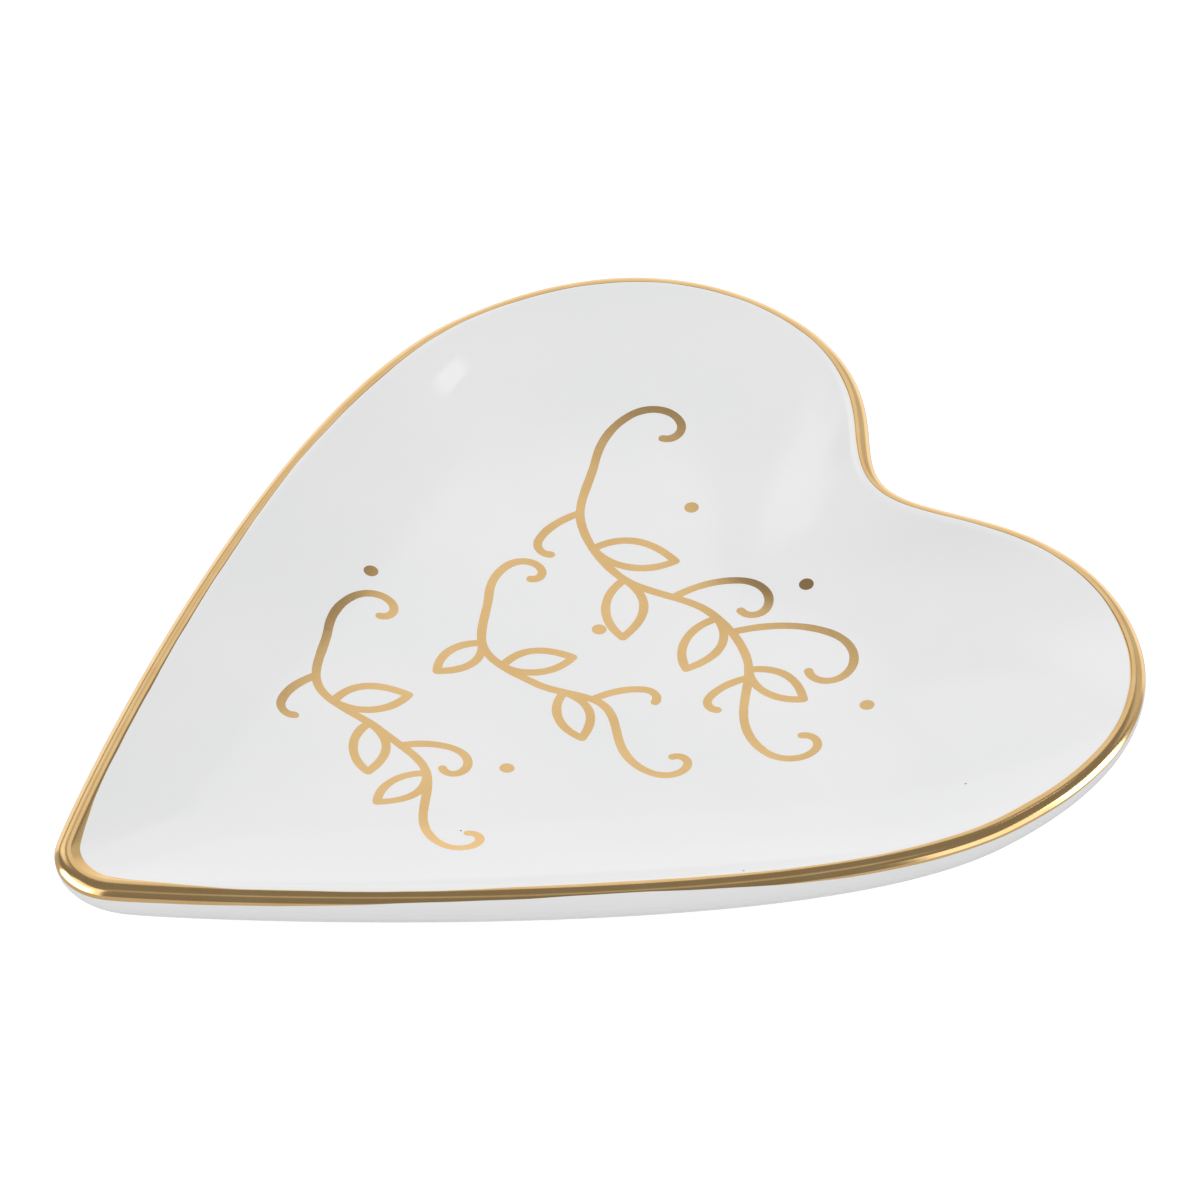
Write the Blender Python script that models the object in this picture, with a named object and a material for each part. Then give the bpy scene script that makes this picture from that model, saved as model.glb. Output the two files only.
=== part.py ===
"""Heart-shaped trinket dish: one porcelain casting, a fired gold rim band and gold vines on its floor.

Sizes below are in millimetres and MM turns them into metres. +Z is up and +Y runs from the heart's tip
to its notch. The origin is the middle of the outline, on the surface that the foot ring stands on.
"""

import math
from bisect import bisect_left

import bpy
from mathutils import Vector
from mathutils.geometry import delaunay_2d_cdt

MM = 0.001

# Outline of the rim, measured from the tip. One half is drawn and the other mirrors it.
LENGTH = 120.0  # tip to the tops of the lobes
HALF_WIDTH = 52.9
WIDEST_Y = 87.5
LOBE_X = 25.6  # where a lobe is highest
NOTCH_Y = 110.17
TIP_RADIUS = 6.68
TIP_HALF_ANGLE = math.radians(43.57)
FLANK_START, FLANK_END = 7.1, 26.95  # handles of the curve along each stretch
SHOULDER_START, SHOULDER_END = 30.5, 3.87
NOTCH_START, NOTCH_END = 13.9, 6.67
OUTLINE_POINTS = 84

# Section of the dish
HEIGHT = 11.0
LIP_RUN, LIP_RISE = 1.4, 1.015  # half width and height of the lip, which is half an ellipse
BOWL_Y = 72.5  # the bowl's middle, about equally far from the flanks and from the notch
FLANK_DISTANCE = 39.9  # from that middle to a flank
WALL_RUN, WALL_DROP = 12.64, 8.76  # quarter ellipse of the outer wall
WALL_STEPS = 7
FLOOR_Z = 4.6  # top of the floor at the bowl's middle
CORE_RADIUS = 46.0  # contours of the bowl turn from a heart at the rim to a circle of this family
BOWL_SQUARE, BOWL_QUARTIC = 0.49, 0.51  # how the bowl rises with the share of the way to the rim
BOWL_SHARES = (0.92, 0.84, 0.75, 0.66, 0.57, 0.48, 0.39, 0.3, 0.2, 0.1)
# Inset and height of the foot ring's section and of the recess inside it
FOOT_PROFILE = ((13.3, 0.4), (13.7, 0.0), (16.1, 0.0), (16.5, 0.4), (17.4, 1.5), (27.0, 1.75))
RECESS_Z = 1.9  # underside at the middle

# Gold band over the lip, let into a rebate so that it lies flush
BAND_THICKNESS = 0.3
GAP = 0.2  # between gold and porcelain
BAND_SHARE = 0.991  # how far down into the bowl the band reaches
REBATE_SHARE = 0.985
LIP_STEPS = 6

# Gold flourish: thin solid strokes just over the floor of the bowl, placed from the outline's middle.
STROKE_WIDTH = 1.2
STROKE_STEP = 1.4
STROKE_THICKNESS = 0.3
CAP_SIDES = 8
# Each vine is a stem through a few points and what grows from it: share along the stem, angle off it,
# shape, size and side (1 bends to the left and -1 to the right).
VINES = {
    "upper_vine": (
        ((-27, 29), (-20, 22), (-10, 20.5), (0, 25), (9, 24), (16, 18.5)),
        (
            (0.0, 180, "curl", 8.5, -1),
            (1.0, 0, "curl", 8, 1),
            (0.17, -62, "hook", 6.5, 1),
            (0.29, 52, "leaf", 9.5, 1),
            (0.41, -50, "leaf", 9.5, 1),
            (0.52, 62, "curl", 8, -1),
            (0.64, -62, "leaf", 9, 1),
            (0.7, 78, "curl", 11, -1),
            (0.85, 48, "leaf", 8, 1),
            (0.88, -66, "hook", 5.5, 1),
        ),
    ),
    "middle_vine": (
        ((-16, 6.5), (-9, 1), (-1, 2.5), (6, 6.5), (13, 4)),
        (
            (0.0, 180, "curl", 5.5, -1),
            (1.0, 0, "curl", 6, 1),
            (0.22, -55, "leaf", 7, 1),
            (0.36, 55, "leaf", 8, 1),
            (0.6, -58, "leaf", 8, 1),
            (0.7, 62, "hook", 6, -1),
        ),
    ),
    "lower_vine": (
        ((-20, -12.5), (-13, -18.5), (-4, -16.5), (4, -16), (11, -21)),
        (
            (0.0, 180, "curl", 6.5, -1),
            (1.0, 0, "curl", 6, 1),
            (0.2, -58, "hook", 6, 1),
            (0.33, 55, "leaf", 8.5, 1),
            (0.46, -52, "leaf", 8, 1),
            (0.6, 62, "curl", 6, -1),
            (0.78, -55, "leaf", 7.5, 1),
        ),
    ),
}
# Bends of a curl and a hook of size 1: length, and turn in degrees per length at both ends.
PEN_BENDS = {
    "curl": ((1.0, 30, 60), (0.8, 100, 170), (0.45, 230, 330)),
    "hook": ((1.0, 20, 60), (0.5, 160, 300)),
}
DOT_RADIUS = 0.85
DOTS = ((-14.5, 33.5), (4, 36), (24, 29.5), (-4.5, 13.5), (-25.5, -3), (9, -8.5))

PORCELAIN = ((0.86, 0.87, 0.87), 0.06, 0.0)  # colour, roughness, metallic
GOLD = ((0.83, 0.62, 0.3), 0.18, 1.0)


def bezier(p0, p1, p2, p3, steps):
    """Points of a cubic curve, without its first one."""
    points = []
    for i in range(1, steps + 1):
        t = i / steps
        u = 1 - t
        points.append(p0 * u**3 + p1 * (3 * u * u * t) + p2 * (3 * u * t * t) + p3 * t**3)
    return points


def half_outline(steps=120):
    """The right half of the heart from tip to notch, finely divided."""
    points = []
    for i in range(21):
        angle = -math.pi / 2 + (math.pi / 2 - TIP_HALF_ANGLE) * i / 20
        points.append(Vector((TIP_RADIUS * math.cos(angle), TIP_RADIUS * (1 + math.sin(angle)))))
    leave = points[-1]
    along = Vector((math.sin(TIP_HALF_ANGLE), math.cos(TIP_HALF_ANGLE)))
    widest = Vector((HALF_WIDTH, WIDEST_Y))
    lobe = Vector((LOBE_X, LENGTH))
    notch = Vector((0, NOTCH_Y))
    x_axis, y_axis = Vector((1, 0)), Vector((0, 1))
    points += bezier(leave, leave + along * FLANK_START, widest - y_axis * FLANK_END, widest, steps)
    points += bezier(widest, widest + y_axis * SHOULDER_START, lobe + x_axis * SHOULDER_END, lobe, steps)
    points += bezier(lobe, lobe - x_axis * NOTCH_START, notch + x_axis * NOTCH_END, notch, steps)
    return points


def spaced(points, count, bend_weight=6.0):
    """count + 1 of the line's points, closer together where it bends."""
    reach = [0.0]
    for i in range(1, len(points)):
        step = points[i] - points[i - 1]
        after = points[i + 1] - points[i] if i + 1 < len(points) else step
        turn = step.angle(after, 0.0)
        reach.append(reach[-1] + step.length + bend_weight * turn)
    chosen = []
    for k in range(count + 1):
        target = reach[-1] * k / count
        i = min(max(bisect_left(reach, target), 1), len(points) - 1)
        share = (target - reach[i - 1]) / (reach[i] - reach[i - 1])
        chosen.append(points[i - 1].lerp(points[i], share))
    return chosen


def heart_outline():
    """The rim's outermost points anticlockwise from the tip, measured from the bowl's middle."""
    half = spaced(half_outline(), OUTLINE_POINTS // 2)
    half[0].x = 0.0
    half[-1].x = 0.0
    mirrored = [Vector((-p.x, p.y)) for p in reversed(half[1:-1])]
    return [p - Vector((0, BOWL_Y)) for p in half + mirrored]


def outward_normals(outline):
    normals = []
    for i, _ in enumerate(outline):
        along = outline[(i + 1) % len(outline)] - outline[i - 1]
        normals.append(Vector((along.y, -along.x)).normalized())
    return normals


class Dish:
    """The dish's surfaces, as rings of points that share the outline's numbering."""

    def __init__(self):
        self.outline = heart_outline()
        self.normals = outward_normals(self.outline)
        rise = (HEIGHT - FLOOR_Z) * (2 * BOWL_SQUARE + 4 * BOWL_QUARTIC)
        slopes = [rise / p.dot(n) for p, n in zip(self.outline, self.normals)]
        self.leaving = [math.atan(slope * LIP_RUN / LIP_RISE) for slope in slopes]
        self.mouth = self.lip_ring(1.0)
        self.angles = [math.atan2(p.y, p.x) % (2 * math.pi) for p in self.mouth]

    def at(self, point, z):
        """A point measured from the bowl's middle, in the dish's own frame and in metres."""
        return Vector((point.x, point.y + BOWL_Y - LENGTH / 2, z)) * MM

    def lip_ring(self, share, depth=0.0):
        """Round the lip at depth under its surface: share -1 is outermost, 0 the crest and 1 the bowl's edge."""
        ring = []
        run, rise = LIP_RUN - depth, LIP_RISE - depth
        for p, n, leaving in zip(self.outline, self.normals, self.leaving):
            angle = share * (leaving if share > 0 else math.pi / 2)
            flat = p - n * (LIP_RUN + run * math.sin(angle))
            ring.append(Vector((flat.x, flat.y, HEIGHT - LIP_RISE + rise * math.cos(angle))))
        return ring

    def bowl_ring(self, share, depth=0.0):
        """The bowl's contour at a share of the way from its middle to its edge, depth under its surface."""
        heart = share * share * (3 - 2 * share)
        height = BOWL_SQUARE * share**2 + BOWL_QUARTIC * share**4
        ring = []
        for edge in self.mouth:
            flat = edge.xy * heart + edge.xy.normalized() * CORE_RADIUS * (1 - heart)
            z = FLOOR_Z + (edge.z - FLOOR_Z) * height - depth
            ring.append(Vector((flat.x * share, flat.y * share, z)))
        return ring

    def shell_ring(self, inset, z):
        """A contour of the outside, inset from the rim by this much at a flank."""
        share = 1 - inset / FLANK_DISTANCE
        return [Vector((p.x * share, p.y * share, z)) for p in self.outline]

    def floor_height(self, x, y):
        """Height of the bowl's surface at a point measured from its middle."""
        angle = math.atan2(y, x) % (2 * math.pi)
        reach = math.hypot(x, y)
        away = [abs(math.remainder(turn - angle, 2 * math.pi)) for turn in self.angles]
        edge = self.mouth[away.index(min(away))]
        low, high = 0.0, 1.0
        for _ in range(24):
            share = (low + high) / 2
            heart = share * share * (3 - 2 * share)
            if share * (edge.xy.length * heart + CORE_RADIUS * (1 - heart)) < reach:
                low = share
            else:
                high = share
        return FLOOR_Z + (edge.z - FLOOR_Z) * (BOWL_SQUARE * low**2 + BOWL_QUARTIC * low**4)

    def loft(self, rings, poles=None):
        """Vertices and faces through the rings: a closed loop of them, or capped by a pole at each end."""
        count = len(self.outline)
        vertices = [self.at(p, p.z) for ring in rings for p in ring]
        faces = []
        pairs = len(rings) - 1 if poles else len(rings)
        for k in range(pairs):
            a, b = k * count, (k + 1) % len(rings) * count
            for i in range(count):
                j = (i + 1) % count
                faces.append((a + i, b + i, b + j, a + j))
        if poles:
            vertices += [self.at(Vector((0, 0)), z) for z in poles]
            last = (len(rings) - 1) * count
            for i in range(count):
                j = (i + 1) % count
                faces.append((len(vertices) - 2, i, j))
                faces.append((len(vertices) - 1, last + j, last + i))
        return vertices, faces


def material(name, look):
    colour, roughness, metallic = look
    made = bpy.data.materials.new(name)
    made.use_nodes = True
    shader = made.node_tree.nodes["Principled BSDF"]
    shader.inputs["Base Color"].default_value = (*colour, 1.0)
    shader.inputs["Roughness"].default_value = roughness
    shader.inputs["Metallic"].default_value = metallic
    return made


def add_object(name, vertices, faces, look, smooth_angle=40):
    mesh = bpy.data.meshes.new(name)
    mesh.from_pydata(vertices, [], faces)
    mesh.validate()
    mesh.shade_smooth()
    mesh.set_sharp_from_angle(angle=math.radians(smooth_angle))
    mesh.materials.append(material(name, look))
    made = bpy.data.objects.new(name, mesh)
    bpy.context.scene.collection.objects.link(made)
    return made


def make_dish_body(dish):
    """The casting: bowl, lip with the band's rebate, outer wall, foot ring and recessed underside."""
    deep = BAND_THICKNESS + GAP
    shelf = HEIGHT - LIP_RISE - GAP
    rings = [dish.bowl_ring(share) for share in reversed(BOWL_SHARES)]
    rings.append(dish.bowl_ring(REBATE_SHARE))
    rings.append(dish.bowl_ring(REBATE_SHARE, deep))
    rings += [dish.lip_ring(1 - 2 * i / LIP_STEPS, deep) for i in range(LIP_STEPS + 1)]
    rings.append([Vector((p.x, p.y, shelf)) for p in rings[-1]])
    rings.append(dish.shell_ring(0.0, shelf))
    for i in range(1, WALL_STEPS + 1):
        angle = math.pi / 2 * i / WALL_STEPS
        z = HEIGHT - LIP_RISE - WALL_DROP * math.sin(angle)
        rings.append(dish.shell_ring(WALL_RUN * (1 - math.cos(angle)), z))
    rings += [dish.shell_ring(inset, z) for inset, z in FOOT_PROFILE]
    add_object("dish_body", *dish.loft(rings, poles=(FLOOR_Z, RECESS_Z)), PORCELAIN)


def stem_through(points, steps=20):
    """A smooth line through the points, with its heading at each of its own points."""
    knots = [Vector(p) for p in points]
    knots = [2 * knots[0] - knots[1]] + knots + [2 * knots[-1] - knots[-2]]
    line = [knots[1]]
    for a, b, c, d in zip(knots, knots[1:], knots[2:], knots[3:]):
        line += bezier(b, b + (c - a) / 6, c - (d - b) / 6, c, steps)
    headings = []
    for i, _ in enumerate(line):
        along = line[min(i + 1, len(line) - 1)] - line[max(i - 1, 0)]
        headings.append(math.atan2(along.y, along.x))
    return line, headings


def pen_line(start, heading, bends):
    """A line drawn by a pen that turns as it goes; a bend is a length and its turn per length at both ends."""
    line = [start.copy()]
    for length, first, last in bends:
        steps = max(3, round(length / STROKE_STEP * 2))
        for i in range(steps):
            turn = math.radians(first + (last - first) * (i + 0.5) / steps) * length / steps
            heading += turn / 2
            line.append(line[-1] + Vector((math.cos(heading), math.sin(heading))) * length / steps)
            heading += turn / 2
    return line


def sprout(kind, start, heading, size, side):
    """A curl, a hook or a closed leaf that grows from start."""
    if kind in PEN_BENDS:
        turn = side / size
        bends = [(size * part, turn * first, turn * last) for part, first, last in PEN_BENDS[kind]]
        return pen_line(start, heading, bends)
    along = Vector((math.cos(heading), math.sin(heading))) * size
    across = Vector((-along.y, along.x)) * 0.3 * side
    tip = start + along
    out = bezier(start, start + along * 0.3 + across * 1.1, tip - along * 0.35 + across, tip, 10)
    back = bezier(tip, tip - along * 0.3 - across, start + along * 0.25 - across * 0.9, start, 10)
    return [start.copy()] + out + back


def ribbon(line, width):
    """Flat polygons along a line: a strip of quads and a round cap at each end."""
    length = sum((b - a).length for a, b in zip(line, line[1:]))
    line = spaced(line, max(2, round(length / STROKE_STEP)), bend_weight=1.5)
    sides = []
    for i, point in enumerate(line):
        along = (line[min(i + 1, len(line) - 1)] - line[max(i - 1, 0)]).normalized()
        across = Vector((-along.y, along.x)) * width / 2
        sides.append((point - across, point + across))
    polygons = [(a[0], b[0], b[1], a[1]) for a, b in zip(sides, sides[1:])]
    return polygons + [disc(line[0], width / 2), disc(line[-1], width / 2)]


def disc(centre, radius):
    turns = [2 * math.pi * i / CAP_SIDES for i in range(CAP_SIDES)]
    return [centre + Vector((math.cos(a), math.sin(a))) * radius for a in turns]


def make_island(dish, name, polygons):
    """One solid over the floor of the bowl, from flat polygons that may cross."""
    points, loops = [], []
    for polygon in polygons:
        loops.append(list(range(len(points), len(points) + len(polygon))))
        points += polygon
    flat, _, faces, _, _, sources = delaunay_2d_cdt(points, [], loops, 1, 0.001)
    faces = [face for face, source in zip(faces, sources) if source]
    used = sorted({i for face in faces for i in face})
    number = {old: new for new, old in enumerate(used)}
    faces = [[number[i] for i in face] for face in faces]
    count = len(used)
    vertices = []
    for lift in (GAP, GAP + STROKE_THICKNESS):
        for i in used:
            x, y = flat[i].x, flat[i].y + LENGTH / 2 - BOWL_Y
            vertices.append(dish.at(Vector((x, y)), dish.floor_height(x, y) + lift))
    edges = {(face[k - 1], face[k]) for face in faces for k in range(len(face))}
    shell = [list(reversed(face)) for face in faces]
    shell += [[i + count for i in face] for face in faces]
    shell += [[a, b, b + count, a + count] for a, b in edges if (b, a) not in edges]
    add_object(name, vertices, shell, GOLD)


def make_flourish(dish):
    for name, (stem_points, sprouts) in VINES.items():
        line, headings = stem_through(stem_points)
        polygons = ribbon(line, STROKE_WIDTH)
        for share, angle, kind, size, side in sprouts:
            i = round(share * (len(line) - 1))
            heading = headings[i] + math.radians(angle)
            polygons += ribbon(sprout(kind, line[i], heading, size, side), STROKE_WIDTH)
        make_island(dish, name, polygons)
    for number, centre in enumerate(DOTS, 1):
        make_island(dish, f"gold_dot_{number}", [disc(Vector(centre), DOT_RADIUS)])


def make_rim_band(dish):
    """The gold skin over the lip, closed round its own section."""
    shares = [1 - 2 * i / LIP_STEPS for i in range(LIP_STEPS + 1)]
    rings = [dish.bowl_ring(BAND_SHARE)] + [dish.lip_ring(share) for share in shares]
    rings += [dish.lip_ring(share, BAND_THICKNESS) for share in reversed(shares)]
    rings.append(dish.bowl_ring(BAND_SHARE, BAND_THICKNESS))
    add_object("rim_gold_band", *dish.loft(rings), GOLD)


def main():
    for old in list(bpy.data.objects):
        bpy.data.objects.remove(old)
    dish = Dish()
    make_dish_body(dish)
    make_rim_band(dish)
    make_flourish(dish)


main()
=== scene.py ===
"""Looks of the heart-shaped trinket dish: glazed porcelain, a gold rim and a gold vine on its floor."""

import math

import bpy
import numpy as np
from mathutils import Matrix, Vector
from mathutils.geometry import delaunay_2d_cdt


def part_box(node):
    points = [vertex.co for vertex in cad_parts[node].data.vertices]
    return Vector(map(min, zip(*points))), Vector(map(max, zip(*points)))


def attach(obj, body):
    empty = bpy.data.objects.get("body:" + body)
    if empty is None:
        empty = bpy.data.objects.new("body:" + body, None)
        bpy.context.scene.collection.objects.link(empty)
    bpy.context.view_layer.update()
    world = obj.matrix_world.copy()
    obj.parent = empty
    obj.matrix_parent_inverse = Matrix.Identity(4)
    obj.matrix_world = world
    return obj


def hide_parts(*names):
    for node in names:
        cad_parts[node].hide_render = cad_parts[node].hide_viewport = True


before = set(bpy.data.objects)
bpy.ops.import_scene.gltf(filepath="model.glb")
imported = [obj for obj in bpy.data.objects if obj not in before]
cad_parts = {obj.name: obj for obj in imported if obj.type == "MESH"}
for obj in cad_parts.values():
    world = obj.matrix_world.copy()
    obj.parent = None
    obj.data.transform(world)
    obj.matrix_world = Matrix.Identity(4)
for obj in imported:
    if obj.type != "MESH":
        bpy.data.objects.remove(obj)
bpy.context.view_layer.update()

# The dish's own sizes are in millimetres. The outline, the lip and the foot plane come from the frame.
MM = 0.001
FILM = 0.03  # how far the rim's gold stands over the glaze
SUNK = 0.02  # how far a gold edge dips into the glaze
RIM_LOW, RIM_HIGH = (np.array(corner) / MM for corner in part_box("rim_gold_band"))
FOOT_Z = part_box("dish_body")[0][2] / MM
LENGTH = RIM_HIGH[1] - RIM_LOW[1] - 2 * FILM
TIP_Y = RIM_LOW[1] + FILM
HALF_WIDTH = (RIM_HIGH[0] - RIM_LOW[0]) / 2 - FILM
HEIGHT = RIM_HIGH[2] - FILM

# Outline of the rim, measured from the tip. The handles are those of the curve along each stretch.
WIDEST_Y = 87.5
LOBE_X = 25.6  # where a lobe is highest
NOTCH_Y = 110.17
TIP_RADIUS = 6.68
TIP_HALF_ANGLE = math.radians(43.57)
FLANK_HANDLES = (7.1, 26.95)
SHOULDER_HANDLES = (30.5, 3.87)
NOTCH_HANDLES = (13.9, 6.67)
OUTLINE_POINTS = 600

# Section of the dish
BOWL_Y = 72.5  # the bowl's middle, about equally far from the flanks and from the notch
FLANK_DISTANCE = 39.9  # from that middle to a flank
LIP_RUN, LIP_RISE = 1.4, 1.015  # half width and height of the lip, which is half an ellipse
WALL_RUN, WALL_DROP = 12.64, 8.76  # quarter ellipse of the outer wall
FLOOR_Z = 4.6  # top of the floor at the bowl's middle
CORE_RADIUS = 46.0  # contours of the bowl turn from a heart at the rim to a circle of this family
BOWL_SQUARE, BOWL_QUARTIC = 0.49, 0.51  # how the bowl rises with the share of the way to the rim
BOWL_RINGS, LIP_INNER_RINGS, LIP_RINGS, WALL_RINGS = 64, 8, 14, 30
FIRST_SHARE = 0.02  # the bowl's innermost ring
RIM_CROWDING = 1.25  # over 1, the bowl's rings lie closer together towards its edge
# Section of the foot ring and the recess inside it: inset from the rim at a flank, and height
UNDER_Z = HEIGHT - LIP_RISE - WALL_DROP
FOOT_CORNERS = (
    (WALL_RUN, UNDER_Z), (13.2, UNDER_Z), (13.5, FOOT_Z), (16.3, FOOT_Z), (16.9, 1.5), (27, 1.75),
)
FOOT_ROUNDING = 0.4
RECESS_INSETS = (30, 33, 36, 38.5)
RECESS_Z, RECESS_SAG = 1.9, 0.15
BARE_RISE = 0.12  # how far up the foot ring the glaze was wiped off

# Where the points of the lip lie along its section
LIP_SAMPLES = 721
LIP_ANGLES = np.linspace(-math.pi / 2, math.pi / 2, LIP_SAMPLES)
LIP_PACE = np.hypot(LIP_RUN * np.cos(LIP_ANGLES), LIP_RISE * np.sin(LIP_ANGLES))
LIP_STEPS = LIP_PACE * (LIP_ANGLES[1] - LIP_ANGLES[0])
LIP_ARC = np.cumsum(LIP_STEPS) - LIP_STEPS[: LIP_SAMPLES // 2 + 1].sum()  # measured from the crest


def bezier(p0, p1, p2, p3, steps):
    """Points of a cubic curve, without its first one."""
    t = (np.arange(1, steps + 1) / steps)[:, None]
    u = 1 - t
    return u**3 * p0 + 3 * u * u * t * p1 + 3 * u * t * t * p2 + t**3 * p3


def spaced(points, count):
    """count + 1 points at even steps along a line."""
    reach = np.concatenate([[0], np.cumsum(np.linalg.norm(np.diff(points, axis=0), axis=1))])
    at = np.linspace(0, reach[-1], count + 1)
    return np.stack([np.interp(at, reach, points[:, k]) for k in range(2)], axis=1)


def heart_outline():
    """The rim's outermost points anticlockwise from the tip, measured from the bowl's middle."""
    turn = np.linspace(-math.pi / 2, -TIP_HALF_ANGLE, 61)
    tip = TIP_RADIUS * np.stack([np.cos(turn), 1 + np.sin(turn)], axis=1)
    along = np.array([math.sin(TIP_HALF_ANGLE), math.cos(TIP_HALF_ANGLE)])
    leave = tip[-1]
    widest, lobe = np.array([HALF_WIDTH, WIDEST_Y]), np.array([LOBE_X, LENGTH])
    notch = np.array([0, NOTCH_Y])
    x_axis, y_axis = np.array([1, 0]), np.array([0, 1])
    (flank, flank_end), (shoulder, shoulder_end) = FLANK_HANDLES, SHOULDER_HANDLES
    half = np.concatenate([
        tip,
        bezier(leave, leave + along * flank, widest - y_axis * flank_end, widest, 600),
        bezier(widest, widest + y_axis * shoulder, lobe + x_axis * shoulder_end, lobe, 600),
        bezier(lobe, lobe - x_axis * NOTCH_HANDLES[0], notch + x_axis * NOTCH_HANDLES[1], notch, 400),
    ])
    half = spaced(half, OUTLINE_POINTS // 2)
    half[0, 0] = half[-1, 0] = 0
    return np.concatenate([half, half[-2:0:-1] * [-1, 1]]) - [0, BOWL_Y]


class Dish:
    """The dish's surfaces, in millimetres from the bowl's middle."""

    def __init__(self):
        self.outline = heart_outline()
        along = np.roll(self.outline, -1, axis=0) - np.roll(self.outline, 1, axis=0)
        self.normals = np.stack([along[:, 1], -along[:, 0]], axis=1)
        self.normals /= np.linalg.norm(self.normals, axis=1)[:, None]
        self.support = (self.outline * self.normals).sum(axis=1)
        rise = (HEIGHT - FLOOR_Z) * (2 * BOWL_SQUARE + 4 * BOWL_QUARTIC)
        self.slopes = np.arctan(rise / self.support)
        self.leaving = np.arctan(rise / self.support * LIP_RUN / LIP_RISE)
        self.mouth = self.lip(self.leaving)
        self.reach = np.linalg.norm(self.mouth[:, :2], axis=1)
        self.angles = np.unwrap(np.arctan2(self.mouth[:, 1], self.mouth[:, 0]))

    def lip(self, angle, lift=0.0):
        """Points round the lip at an angle from its crest, positive towards the bowl."""
        angle = np.broadcast_to(angle, len(self.outline))[:, None]
        lift = np.broadcast_to(lift, len(self.outline))[:, None]
        flat = self.outline - self.normals * (LIP_RUN + (LIP_RUN + lift) * np.sin(angle))
        return np.hstack([flat, HEIGHT - LIP_RISE + (LIP_RISE + lift) * np.cos(angle)])

    def bowl(self, share, lift=0.0):
        """Points at a share of the way from the bowl's middle to its edge."""
        share = np.broadcast_to(share, len(self.outline))[:, None]
        heart = share**2 * (3 - 2 * share)
        unit = self.mouth[:, :2] / self.reach[:, None]
        flat = share * unit * (self.reach[:, None] * heart + CORE_RADIUS * (1 - heart))
        z = FLOOR_Z + (self.mouth[:, 2:] - FLOOR_Z) * (BOWL_SQUARE * share**2 + BOWL_QUARTIC * share**4)
        return np.hstack([flat, z + np.broadcast_to(lift, len(self.outline))[:, None]])

    def wall(self, fall, lift=0.0):
        """Points of the outer wall this far below the lip's outermost line."""
        fall = np.broadcast_to(fall, len(self.outline))[:, None]
        inset = WALL_RUN * (1 - np.sqrt(np.clip(1 - (fall / WALL_DROP) ** 2, 0, 1)))
        flat = self.outline * (1 - inset / FLANK_DISTANCE)
        flat = flat + self.normals * np.broadcast_to(lift, len(self.outline))[:, None]
        return np.hstack([flat, HEIGHT - LIP_RISE - fall])

    def shell(self, inset, z):
        """A contour of the underside, inset from the rim by this much at a flank."""
        return np.hstack([self.outline * (1 - inset / FLANK_DISTANCE), np.full((len(self.outline), 1), z)])

    def floor_height(self, points):
        """Height of the bowl's surface at flat points measured from its middle."""
        angle = np.arctan2(points[:, 1], points[:, 0])
        start = self.angles[0]
        angle = start + (angle - start) % (2 * math.pi)
        turns = np.append(self.angles, self.angles[0] + 2 * math.pi)
        edge = np.interp(angle, turns, np.append(self.reach, self.reach[0]))
        top = np.interp(angle, turns, np.append(self.mouth[:, 2], self.mouth[0, 2]))
        goal = np.linalg.norm(points, axis=1)
        low, high = np.zeros(len(points)), np.ones(len(points))
        for _ in range(40):
            share = (low + high) / 2
            heart = share**2 * (3 - 2 * share)
            short = share * (edge * heart + CORE_RADIUS * (1 - heart)) < goal
            low, high = np.where(short, share, low), np.where(short, high, share)
        return FLOOR_Z + (top - FLOOR_Z) * (BOWL_SQUARE * low**2 + BOWL_QUARTIC * low**4)


def in_frame(points):
    """Points measured from the bowl's middle, in the frame's metres."""
    return (np.asarray(points) + [0, BOWL_Y + TIP_Y, 0]) * MM


def loft(rings, poles=None):
    """Vertices and faces through the rings: a closed loop of them, or capped by a pole at each end."""
    count = len(rings[0])
    vertices = np.concatenate(rings)
    faces = []
    for k in range(len(rings) - 1 if poles else len(rings)):
        a, b = k * count, (k + 1) % len(rings) * count
        faces += [(a + i, b + i, b + (i + 1) % count, a + (i + 1) % count) for i in range(count)]
    if poles:
        first, last = len(vertices), (len(rings) - 1) * count
        vertices = np.concatenate([vertices, [(0, 0, z) for z in poles]])
        faces += [(first, i, (i + 1) % count) for i in range(count)]
        faces += [(first + 1, last + (i + 1) % count, last + i) for i in range(count)]
    return vertices, faces


def add_piece(name, vertices, faces, materials, node, slot):
    """A smooth piece that stands for a CAD node."""
    mesh = bpy.data.meshes.new(name)
    mesh.from_pydata([tuple(p) for p in in_frame(vertices)], [], faces)
    mesh.shade_smooth()
    for each in materials:
        mesh.materials.append(each)
    piece = bpy.data.objects.new(name, mesh)
    bpy.context.scene.collection.objects.link(piece)
    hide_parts(node)
    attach(piece, "root")
    return piece


def rounded(corners, radius, steps=8):
    """The corners' line with each inner corner rounded."""
    line = [np.array(corners[0])]
    for before, corner, after in zip(corners, corners[1:], corners[2:]):
        corner = np.array(corner)
        back, on = np.array(before) - corner, np.array(after) - corner
        cut = min(radius, np.linalg.norm(back) / 2.1, np.linalg.norm(on) / 2.1)
        a, b = corner + back / np.linalg.norm(back) * cut, corner + on / np.linalg.norm(on) * cut
        for i in range(steps + 1):
            t = i / steps
            line.append((1 - t) ** 2 * a + 2 * t * (1 - t) * corner + t * t * b)
    return line + [np.array(corners[-1])]


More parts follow.
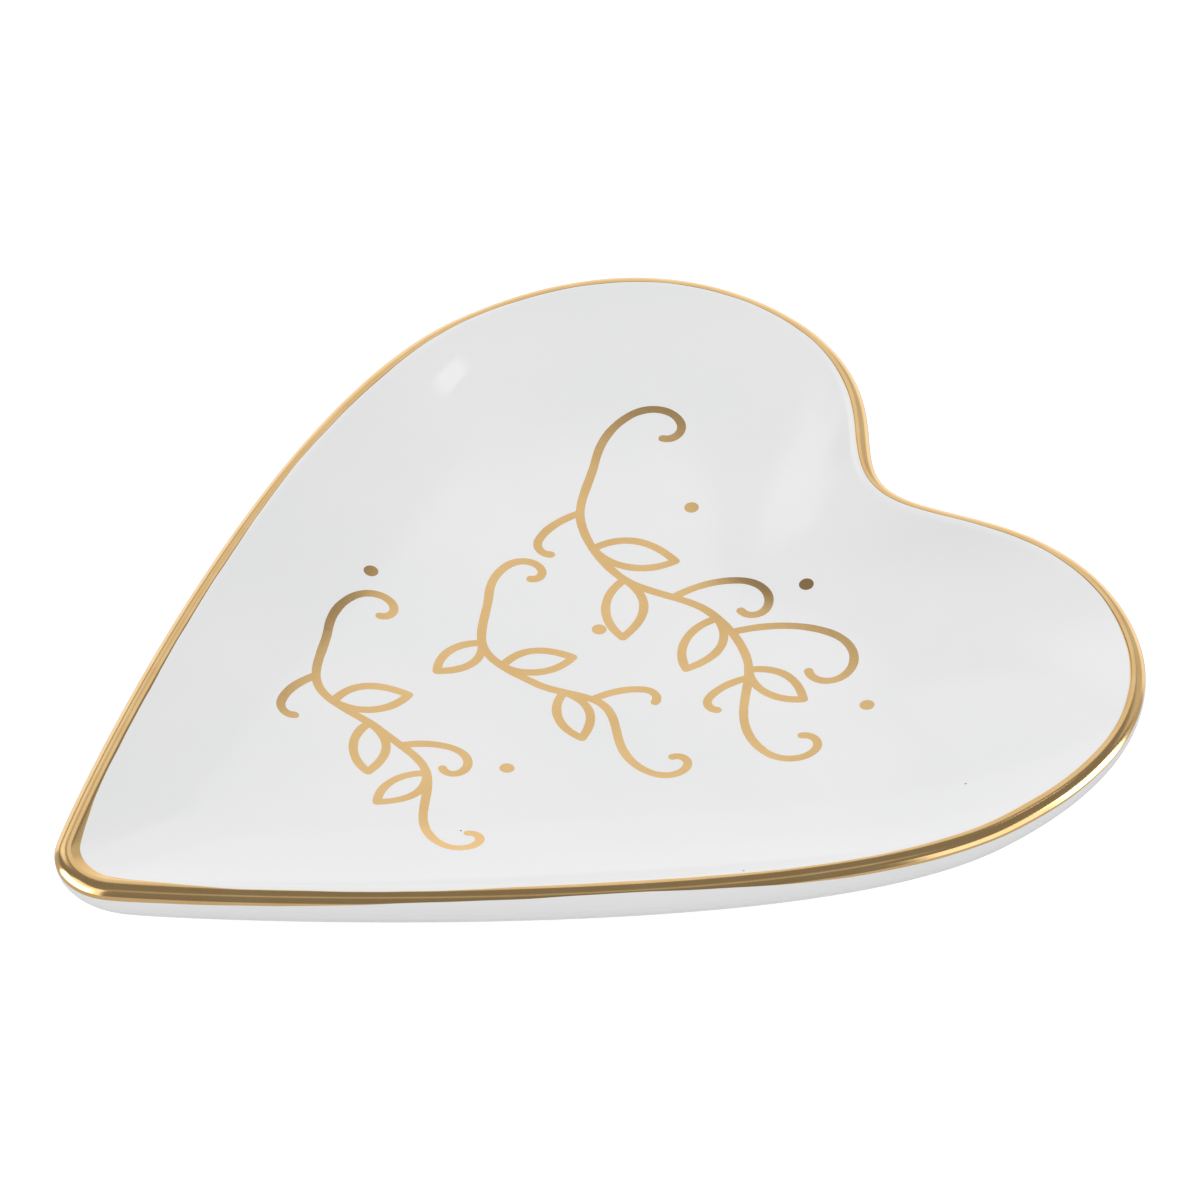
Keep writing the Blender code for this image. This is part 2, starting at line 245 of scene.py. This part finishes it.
def make_body(dish, glaze, bare):
    """The casting, with its glaze wiped off the bottom of the foot ring."""
    shares = 1 - (1 - np.linspace(FIRST_SHARE, 1, BOWL_RINGS)) ** RIM_CROWDING
    rings = [dish.bowl(share) for share in shares]
    rings += [dish.lip(dish.leaving * (1 - i / LIP_INNER_RINGS)) for i in range(1, LIP_INNER_RINGS + 1)]
    rings += [dish.lip(-math.pi / 2 * i / LIP_RINGS) for i in range(1, LIP_RINGS + 1)]
    falls = WALL_DROP * np.sin(np.linspace(0, math.pi / 2, WALL_RINGS + 1))[1:]
    rings += [dish.wall(fall) for fall in falls]
    rings += [dish.shell(inset, z) for inset, z in rounded(FOOT_CORNERS, FOOT_ROUNDING)[1:]]
    recess = FLANK_DISTANCE - FOOT_CORNERS[-1][0]
    for inset in RECESS_INSETS:
        sag = RECESS_SAG * ((FLANK_DISTANCE - inset) / recess) ** 2
        rings.append(dish.shell(inset, RECESS_Z - sag))
    vertices, faces = loft(rings, poles=(FLOOR_Z, RECESS_Z))
    body = add_piece("dish_body_glazed", vertices, faces, [glaze, bare], "dish_body", "porcelain")
    for face in body.data.polygons:
        face.material_index = int(face.normal.z < -0.9 and face.center.z < (FOOT_Z + BARE_RISE) * MM)


def waves(turns, *terms):
    """A slow wander round the rim: each term is its waves per turn, its height and its phase."""
    return sum(height * np.sin(2 * math.pi * count * turns + phase) for count, height, phase in terms)


def wander(turns, stops, softness=0.012):
    """A value that drifts round the rim through a few stops, each a turn and a value."""
    at, value = zip(*stops)
    drift = np.interp(turns, at, value, period=1)
    reach = np.minimum(turns, 1 - turns)
    blur = np.exp(-((reach / softness) ** 2))
    return np.real(np.fft.ifft(np.fft.fft(drift) * np.fft.fft(blur / blur.sum())))


def section(dish, along, lift):
    """Points across the lip: along is the way from its crest, positive towards the bowl, in millimetres."""
    bowl_from, wall_from = np.interp(dish.leaving, LIP_ANGLES, LIP_ARC), LIP_ARC[0]
    past = np.clip(along - bowl_from, 0, None)
    share = 1 - past * np.cos(dish.slopes) / dish.support
    on_lip = dish.lip(np.interp(along, LIP_ARC, LIP_ANGLES), lift)
    in_bowl = dish.bowl(share, lift)
    on_wall = dish.wall(np.clip(wall_from - along, 0, None), lift)
    choice = np.where(along > bowl_from, 1, np.where(along < wall_from, 2, 0))[:, None]
    return np.choose(choice, [on_lip, in_bowl, on_wall])


# Where the painter's brush reached, by turns round the rim from the tip, in millimetres along the lip from
# its crest: towards the bowl, and down the wall.
BRUSH_INNER = (
    (0.0, 2.0), (0.02, 0.9), (0.05, -0.15), (0.1, -0.3), (0.15, 0.25), (0.18, 0.4), (0.23, 0.0),
    (0.29, 0.4), (0.38, 0.45), (0.47, 0.05), (0.55, 0.3), (0.6, 0.05), (0.66, 0.25), (0.7, 0.05),
    (0.74, 0.35), (0.8, 0.15), (0.88, 0.5), (0.96, 0.7), (0.98, 1.2),
)
BRUSH_OUTER = (
    (0.0, -2.5), (0.05, -2.4), (0.08, -2.0), (0.11, -1.6), (0.17, -1.25), (0.2, -1.45), (0.23, -2.1),
    (0.3, -2.2), (0.34, -1.9), (0.37, -1.5), (0.4, -1.6), (0.45, -1.9), (0.55, -1.9), (0.7, -2.1),
    (0.85, -1.9), (0.95, -2.3),
)
BRUSH_STEPS = 30
BRUSH_EDGE = 0.35  # the lower, the sooner the film reaches its full height
UNDER_FILM = 0.03  # how deep the film's hidden side lies in the glaze


def make_rim(dish, gold):
    """The painted band: a film over the lip whose two edges wander as a brush's do."""
    turns = np.arange(OUTLINE_POINTS) / OUTLINE_POINTS
    inner = wander(turns, BRUSH_INNER) + waves(turns, (13, 0.03, 1.9), (31, 0.02, 0.2), (67, 0.01, 1))
    outer = wander(turns, BRUSH_OUTER) + waves(turns, (7, 0.04, 0.9), (17, 0.03, 2.6), (41, 0.015, 0))
    rings = []
    for i in range(BRUSH_STEPS + 1):
        share = i / BRUSH_STEPS
        rise = math.sin(math.pi * share) ** BRUSH_EDGE
        rings.append(section(dish, inner + (outer - inner) * share, FILM * rise - SUNK * (1 - rise)))
    for i in reversed(range(1, BRUSH_STEPS)):
        rings.append(section(dish, inner + (outer - inner) * i / BRUSH_STEPS, -UNDER_FILM))
    add_piece("rim_gold_film", *loft(rings), [gold], "rim_gold_band", "rim_gold")


# The vines on the floor: flat films. Places are measured from the outline's middle, as in the CAD.
STROKE_WIDTH = 1.03
STROKE_FILM = 0.006  # how far a stroke stands over the glaze
STROKE_DEPTH = 0.04  # and how deep its hidden side lies in it
STROKE_INNER = 0.88  # where a stroke's strips meet, as a share of its half width
STROKE_STEP = 0.35
CAP_SIDES, DOT_SIDES = 16, 32
DOT_RADIUS = 0.83
# Each vine is a stem through a few points and what grows from it: share along the stem, angle off it,
# shape, size and side (1 bends to the left and -1 to the right).
VINES = {
    "upper_vine": (
        ((-27, 29), (-20, 22), (-10, 20.5), (0, 25), (9, 24), (16, 18.5)),
        (
            (0.0, 180, "curl", 8.5, -1),
            (1.0, 0, "curl", 8, 1),
            (0.17, -62, "hook", 6.5, 1),
            (0.29, 52, "leaf", 9.5, 1),
            (0.41, -50, "leaf", 9.5, 1),
            (0.52, 62, "curl", 8, -1),
            (0.64, -62, "leaf", 9, 1),
            (0.7, 78, "curl", 11, -1),
            (0.85, 48, "leaf", 8, 1),
            (0.88, -66, "hook", 5.5, 1),
        ),
    ),
    "middle_vine": (
        ((-16, 6.5), (-9, 1), (-1, 2.5), (6, 6.5), (13, 4)),
        (
            (0.0, 180, "curl", 5.5, -1),
            (1.0, 0, "curl", 6, 1),
            (0.22, -55, "leaf", 7, 1),
            (0.36, 55, "leaf", 8, 1),
            (0.6, -58, "leaf", 8, 1),
            (0.7, 62, "hook", 6, -1),
        ),
    ),
    "lower_vine": (
        ((-20, -12.5), (-13, -18.5), (-4, -16.5), (4, -16), (11, -21)),
        (
            (0.0, 180, "curl", 6.5, -1),
            (1.0, 0, "curl", 6, 1),
            (0.2, -58, "hook", 6, 1),
            (0.33, 55, "leaf", 8.5, 1),
            (0.46, -52, "leaf", 8, 1),
            (0.6, 62, "curl", 6, -1),
            (0.78, -55, "leaf", 7.5, 1),
        ),
    ),
}
# Bends of a curl and a hook of size 1: length, and turn in degrees per length at both ends.
PEN_BENDS = {
    "curl": ((1.0, 30, 60), (0.8, 100, 170), (0.45, 230, 330)),
    "hook": ((1.0, 20, 60), (0.5, 160, 300)),
}
DOTS = ((-14.5, 33.5), (4, 36), (24, 29.5), (-4.5, 13.5), (-25.5, -3), (9, -8.5))


def stem_through(points, steps=60):
    """A smooth line through the points, with its heading at each of its own points."""
    knots = np.array(points, float)
    knots = np.concatenate([[2 * knots[0] - knots[1]], knots, [2 * knots[-1] - knots[-2]]])
    line = [knots[1:2]]
    for a, b, c, d in zip(knots, knots[1:], knots[2:], knots[3:]):
        line.append(bezier(b, b + (c - a) / 6, c - (d - b) / 6, c, steps))
    line = np.concatenate(line)
    along = np.gradient(line, axis=0)
    return line, np.arctan2(along[:, 1], along[:, 0])


def pen_line(start, heading, bends):
    """A line drawn by a pen that turns as it goes.

    Each bend is a length, and the pen's turn per length at both ends of it.
    """
    line = [start]
    for length, first, last in bends:
        steps = max(4, round(length / STROKE_STEP * 2))
        for i in range(steps):
            turn = math.radians(first + (last - first) * (i + 0.5) / steps) * length / steps
            heading += turn / 2
            line.append(line[-1] + np.array([math.cos(heading), math.sin(heading)]) * length / steps)
            heading += turn / 2
    return np.array(line)


def sprout(kind, start, heading, size, side):
    """Lines of a curl, a hook or a closed leaf that grows from start."""
    if kind in PEN_BENDS:
        turn = side / size
        bends = [(size * part, turn * first, turn * last) for part, first, last in PEN_BENDS[kind]]
        return [pen_line(start, heading, bends)]
    along = np.array([math.cos(heading), math.sin(heading)]) * size
    across = np.array([-along[1], along[0]]) * 0.3 * side
    tip = start + along
    out = bezier(start, start + along * 0.3 + across * 1.1, tip - along * 0.35 + across, tip, 40)
    back = bezier(tip, tip - along * 0.3 - across, start + along * 0.25 - across * 0.9, start, 40)
    return [np.concatenate([[start], out]), np.concatenate([[tip], back])]


def disc(centre, radius, sides=CAP_SIDES):
    """A round patch, as two circles one inside the other."""
    turn = np.linspace(0, 2 * math.pi, sides, endpoint=False)
    circle = np.stack([np.cos(turn), np.sin(turn)], axis=1)
    return [centre + radius * circle, centre + STROKE_INNER * radius * circle]


def ribbon(line):
    """Flat polygons along a line: three strips side by side and a round cap at each end."""
    length = np.linalg.norm(np.diff(line, axis=0), axis=1).sum()
    line = spaced(line, max(4, round(length / STROKE_STEP)))
    along = np.gradient(line, axis=0)
    across = np.stack([-along[:, 1], along[:, 0]], axis=1) / np.linalg.norm(along, axis=1)[:, None]
    at = np.linspace(0, length, len(line))
    slow, quick = 0.025 * np.sin(at * 0.9 + line[0, 0]), 0.015 * np.sin(at * 2.3 + line[0, 1])
    width = STROKE_WIDTH * (1 + slow + quick)
    rows = [line + across * (width * part / 2)[:, None] for part in (-1, -STROKE_INNER, STROKE_INNER, 1)]
    polygons = []
    for low, high in zip(rows, rows[1:]):
        polygons += [(low[i], low[i + 1], high[i + 1], high[i]) for i in range(len(line) - 1)]
    return polygons + disc(line[0], width[0] / 2) + disc(line[-1], width[-1] / 2)


def make_island(dish, name, polygons, gold, node):
    """A thin film on the bowl's floor, from flat polygons that may cross."""
    points, loops = [], []
    for polygon in polygons:
        loops.append(list(range(len(points), len(points) + len(polygon))))
        points += [Vector(p) for p in polygon]
    flat, _, faces, _, _, sources = delaunay_2d_cdt(points, [], loops, 1, 0.0005)
    faces = [face for face, source in zip(faces, sources) if source]
    used = sorted({i for face in faces for i in face})
    number = {old: new for new, old in enumerate(used)}
    faces = [[number[i] for i in face] for face in faces]
    edges = {(face[k - 1], face[k]) for face in faces for k in range(len(face))}
    rim = [(a, b) for a, b in edges if (b, a) not in edges]
    flat = np.array([flat[i][:2] for i in used]) + [0, LENGTH / 2 - BOWL_Y]
    ground = dish.floor_height(flat)
    top = np.column_stack([flat, ground + STROKE_FILM])
    bottom = np.column_stack([flat, ground - STROKE_DEPTH])
    count = len(used)
    shell = [list(reversed(face)) for face in faces]
    shell += [[i + count for i in face] for face in faces]
    shell += [[a, b, b + count, a + count] for a, b in rim]
    film = add_piece(name, np.concatenate([bottom, top]), shell, [gold], node, "motif_gold")
    film.data.set_sharp_from_angle(angle=math.radians(40))


def make_flourish(dish, gold):
    for node, (stem_points, sprouts) in VINES.items():
        line, headings = stem_through(stem_points)
        polygons = ribbon(line)
        for share, angle, kind, size, side in sprouts:
            i = round(share * (len(line) - 1))
            heading = headings[i] + math.radians(angle)
            for shoot in sprout(kind, line[i], heading, size, side):
                polygons += ribbon(shoot)
        make_island(dish, f"{node}_film", polygons, gold, node)
    for number, centre in enumerate(DOTS, 1):
        polygons = disc(np.array(centre), DOT_RADIUS, DOT_SIDES)
        make_island(dish, f"gold_dot_film_{number}", polygons, gold, f"gold_dot_{number}")


def new_material(name, colour, roughness, metallic=0.0):
    made = bpy.data.materials.new(name)
    made.use_nodes = True
    shader = made.node_tree.nodes["Principled BSDF"]
    shader.inputs["Base Color"].default_value = (*colour, 1)
    shader.inputs["Roughness"].default_value = roughness
    shader.inputs["Metallic"].default_value = metallic
    return made, made.node_tree, shader


def node(tree, kind, inputs=None, **settings):
    made = tree.nodes.new(kind)
    for key, value in settings.items():
        setattr(made, key, value)
    for key, value in (inputs or {}).items():
        if isinstance(value, bpy.types.NodeSocket):
            tree.links.new(value, made.inputs[key])
        else:
            made.inputs[key].default_value = value
    return made


def maths(tree, operation, *values):
    inputs = dict(enumerate(values))
    return node(tree, "ShaderNodeMath", inputs, operation=operation).outputs[0]


def dent(tree, shader, height, strength, distance):
    """Fine relief in the shader's normal. The distance is in metres."""
    bump = node(tree, "ShaderNodeBump", {"Height": height, "Strength": strength, "Distance": distance})
    tree.links.new(bump.outputs["Normal"], shader.inputs["Normal"])


def step(tree, value, start, end):
    """0 before start and 1 after end, or the other way round if start is the greater."""
    inputs = {"Value": value, "From Min": start, "From Max": end}
    return node(tree, "ShaderNodeMapRange", inputs, interpolation_type="SMOOTHSTEP").outputs["Result"]


def glaze_material():
    """White porcelain under clear glaze: even in colour, with a faint waviness and a few pinholes."""
    made, tree, shader = new_material("glazed_porcelain", (0.8, 0.8, 0.8), 0.05)
    place = node(tree, "ShaderNodeTexCoord").outputs["Object"]
    cloud = node(tree, "ShaderNodeTexNoise", {"Vector": place, "Scale": 35.0, "Detail": 3.0})
    tint = node(tree, "ShaderNodeValToRGB", {"Fac": cloud.outputs["Fac"]})
    tint.color_ramp.elements[0].position, tint.color_ramp.elements[1].position = 0.35, 0.65
    tint.color_ramp.elements[0].color = (0.73, 0.733, 0.735, 1)
    tint.color_ramp.elements[1].color = (0.75, 0.752, 0.75, 1)
    spots = node(tree, "ShaderNodeTexVoronoi", {"Vector": place, "Scale": 38.0}, voronoi_dimensions="2D")
    chosen = node(tree, "ShaderNodeSeparateColor", {"Color": spots.outputs["Color"]}).outputs["Red"]
    middle = step(tree, spots.outputs["Distance"], 0.006, 0.003)
    speck = maths(tree, "MULTIPLY", middle, step(tree, chosen, 0.5, 0.6))
    colours = {"Color1": tint.outputs["Color"], "Color2": (0.2, 0.15, 0.1, 1)}
    paint = node(tree, "ShaderNodeMixRGB", {"Fac": speck, **colours})
    tree.links.new(paint.outputs["Color"], shader.inputs["Base Color"])
    ripple = node(tree, "ShaderNodeTexNoise", {"Vector": place, "Scale": 90.0, "Detail": 2.0})
    dent(tree, shader, ripple.outputs["Fac"], 0.25, 0.00004)
    return made


def bare_material():
    """Unglazed biscuit on the foot ring's bottom."""
    made, tree, shader = new_material("bare_biscuit", (0.78, 0.75, 0.7), 0.75)
    place = node(tree, "ShaderNodeTexCoord").outputs["Object"]
    grit = node(tree, "ShaderNodeTexNoise", {"Vector": place, "Scale": 1800.0, "Detail": 4.0})
    tint = node(tree, "ShaderNodeValToRGB", {"Fac": grit.outputs["Fac"]})
    tint.color_ramp.elements[0].color = (0.62, 0.59, 0.54, 1)
    tint.color_ramp.elements[1].color = (0.82, 0.8, 0.76, 1)
    tree.links.new(tint.outputs["Color"], shader.inputs["Base Color"])
    dent(tree, shader, grit.outputs["Fac"], 0.4, 0.0001)
    return made


def gold_material(name, pale, deep, streaks):
    """Fired gold lustre: a mirror film whose colour and gloss drift with the brush."""
    made, tree, shader = new_material(name, pale, 0.14, 1.0)
    place = node(tree, "ShaderNodeTexCoord").outputs["Object"]
    drift = node(tree, "ShaderNodeTexNoise", {"Vector": place, "Scale": streaks, "Detail": 4.0})
    tint = node(tree, "ShaderNodeValToRGB", {"Fac": drift.outputs["Fac"]})
    tint.color_ramp.elements[0].position, tint.color_ramp.elements[1].position = 0.3, 0.7
    tint.color_ramp.elements[0].color = (*deep, 1)
    tint.color_ramp.elements[1].color = (*pale, 1)
    tree.links.new(tint.outputs["Color"], shader.inputs["Base Color"])
    gloss = node(tree, "ShaderNodeMapRange", {"Value": drift.outputs["Fac"], "To Min": 0.2, "To Max": 0.1})
    tree.links.new(gloss.outputs["Result"], shader.inputs["Roughness"])
    fine = node(tree, "ShaderNodeTexNoise", {"Vector": place, "Scale": streaks * 9, "Detail": 2.0})
    dent(tree, shader, fine.outputs["Fac"], 0.12, 0.00002)
    return made


# Camera and light: angles are azimuth from behind the tip (0 looks along +Y) and elevation, in degrees.
CAMERA_AZIMUTH, CAMERA_ELEVATION = 54.54, 41.43
CAMERA_DISTANCE = 0.8884
LENS_MM, SENSOR_MM = 240.0, 36.0
AIM = Vector((-2.64, 12.29, HEIGHT)) * MM


def direction(azimuth, elevation):
    """From the dish towards something at this azimuth and elevation."""
    a, e = math.radians(azimuth), math.radians(elevation)
    return Vector((math.sin(a) * math.cos(e), -math.cos(a) * math.cos(e), math.sin(e)))


def aimed(name, data, place, target):
    """A camera or a lamp at a place, turned towards its target."""
    made = bpy.data.objects.new(name, data)
    made.location = place
    made.rotation_euler = (target - place).to_track_quat("-Z", "Y").to_euler()
    bpy.context.scene.collection.objects.link(made)
    return made


def make_camera():
    data = bpy.data.cameras.new("camera")
    data.lens, data.sensor_width = LENS_MM, SENSOR_MM
    data.clip_start, data.clip_end = 0.01, 20
    place = AIM + direction(CAMERA_AZIMUTH, CAMERA_ELEVATION) * CAMERA_DISTANCE
    bpy.context.scene.camera = aimed("camera", data, place, AIM)


def key_light(azimuth, elevation, distance, size, strength):
    """A soft key that lights the glaze but isn't mirrored in it.

    Its strength is what it adds to a white face.
    """
    data = bpy.data.lights.new("key_light", "AREA")
    data.shape, data.size = "SQUARE", size
    data.energy = strength * (math.pi * distance) ** 2
    light = aimed("key_light", data, direction(azimuth, elevation) * distance, Vector((0, 0, 0)))
    light.visible_glossy = False


# The table: half its width in metres, and its paint and its glow, each as the dish and as the camera see it
TABLE_REACH = 3.0
TABLE_PAINT, TABLE_PAINT_SEEN = 0.7, 0.2
TABLE_GLOW, TABLE_GLOW_SEEN = 0.2, 0.9


def make_floor():
    """A plain white table: even white to the camera, and a bright bounce for everything else."""
    mesh = bpy.data.meshes.new("floor")
    corners = [(x * TABLE_REACH, y * TABLE_REACH, 0) for x, y in ((-1, -1), (1, -1), (1, 1), (-1, 1))]
    mesh.from_pydata(corners, [], [(0, 1, 2, 3)])
    floor = bpy.data.objects.new("floor", mesh)
    bpy.context.scene.collection.objects.link(floor)
    floor.visible_glossy = False
    made, tree, shader = new_material("pale_floor", (0.8, 0.8, 0.8), 0.9)
    seen = node(tree, "ShaderNodeLightPath").outputs["Is Camera Ray"]
    paint = maths(tree, "MULTIPLY_ADD", seen, TABLE_PAINT_SEEN - TABLE_PAINT, TABLE_PAINT)
    glow = maths(tree, "MULTIPLY_ADD", seen, TABLE_GLOW_SEEN - TABLE_GLOW, TABLE_GLOW)
    tree.links.new(paint, shader.inputs["Base Color"])
    shader.inputs["Emission Color"].default_value = (1, 1, 1, 1)
    tree.links.new(glow, shader.inputs["Emission Strength"])
    mesh.materials.append(made)


# The studio as mirrors see it. A panel has limits to its turn from the camera (positive to the right) and
# to its elevation, and how soft its edges are, all in degrees. Its last number is its brightness.
PANELS = (
    ((35, 76), (-90, 32), 4, 1.4),  # soft box to the right of the camera
    ((76, 106), (-90, 32), 3, 4.5),
    ((-100, -25), (-90, 56), 5, 1.4),  # soft box to its left
    ((-106, -40), (-18, 34), 5, 4.5),
    ((161, 188), (20, 55), 4, 0.85),  # white panels behind the dish
    ((161, 200), (0, 26), 5, 1.0),
    ((118, 164), (10, 42), 6, 0.62),
    ((185, 199), (20, 41), 3, 0.8),
    ((196, 222), (22, 47), 7, 1.1),
    ((128, 226), (-90, 16), 6, 1.1),  # white surroundings, low behind the dish and to its sides
    ((220, 262), (-90, 20), 6, 0.5),
    ((104, 130), (-90, 20), 5, 0.5),
    ((-30, 60), (55, 74), 8, 0.5),  # faint glow of the ceiling
    ((143, 150), (56, 60), 1, 1.9),  # a lamp far off
)
TABLE_FROM, TABLE_FULL = -16, -28  # elevations between which the panels give way to the table
TABLE_MIRRORED = 0.6
ROOM = 0.24  # all the rest
MATT_LIGHT, MATT_LEAN = 1.01, -0.18  # what lights matt surfaces, and what the side to the right adds


def between(tree, value, low, high, soft):
    """1 between two limits and 0 past them."""
    past_low = step(tree, value, low - soft, low + soft)
    under_high = step(tree, value, high + soft, high - soft)
    return maths(tree, "MULTIPLY", past_low, under_high)


def make_world():
    """Soft white light for matt surfaces, and the studio's panels for glossy ones."""
    world = bpy.data.worlds.new("world")
    world.use_nodes = True
    bpy.context.scene.world = world
    tree = world.node_tree
    way = node(tree, "ShaderNodeTexCoord").outputs["Generated"]
    front = direction(CAMERA_AZIMUTH, 0)
    towards, right, up = (
        node(tree, "ShaderNodeVectorMath", {0: way, 1: axis}, operation="DOT_PRODUCT").outputs["Value"]
        for axis in (front, Vector((-front.y, front.x, 0)), Vector((0, 0, 1)))
    )
    rise = maths(tree, "ARCSINE", up)
    turn = maths(tree, "ARCTAN2", right, towards)
    once_round = maths(tree, "MULTIPLY", maths(tree, "LESS_THAN", turn, 0.0), 2 * math.pi)
    turn_on = maths(tree, "ADD", turn, once_round)  # from 0, for panels that reach round behind the dish
    bright = ROOM
    for (left, end), (low, high), soft, value in PANELS:
        at = turn_on if end > 180 else turn
        left, end, low, high, soft = (math.radians(x) for x in (left, end, low, high, soft))
        wide, tall = between(tree, at, left, end, soft), between(tree, rise, low, high, soft)
        panel = maths(tree, "MULTIPLY", maths(tree, "MULTIPLY", wide, tall), value)
        bright = maths(tree, "MAXIMUM", bright, panel)
    on_table = step(tree, rise, math.radians(TABLE_FROM), math.radians(TABLE_FULL))
    inputs = {"Factor": on_table, "A": bright, "B": TABLE_MIRRORED}
    bright = node(tree, "ShaderNodeMix", inputs).outputs["Result"]
    lean = maths(tree, "MULTIPLY", right, step(tree, up, 0.15, 0.5))
    matt = maths(tree, "MULTIPLY_ADD", lean, MATT_LEAN, MATT_LIGHT)
    mirrored = node(tree, "ShaderNodeLightPath").outputs["Is Glossy Ray"]
    strength = node(tree, "ShaderNodeMix", {"Factor": mirrored, "A": matt, "B": bright}).outputs["Result"]
    tree.links.new(strength, tree.nodes["Background"].inputs["Strength"])
    tree.nodes["Background"].inputs["Color"].default_value = (1, 1, 1, 1)


bpy.context.scene.view_settings.view_transform = "Standard"
dish = Dish()
make_body(dish, glaze_material(), bare_material())
rim_gold = gold_material("rim_gold_lustre", (0.9, 0.62, 0.3), (0.84, 0.55, 0.24), 220.0)
motif_gold = gold_material("motif_gold_lustre", (0.88, 0.6, 0.28), (0.82, 0.54, 0.24), 160.0)
make_rim(dish, rim_gold)
make_flourish(dish, motif_gold)
make_floor()
make_world()
key_light(CAMERA_AZIMUTH + 150, elevation=55, distance=2.0, size=0.8, strength=0.12)
make_camera()
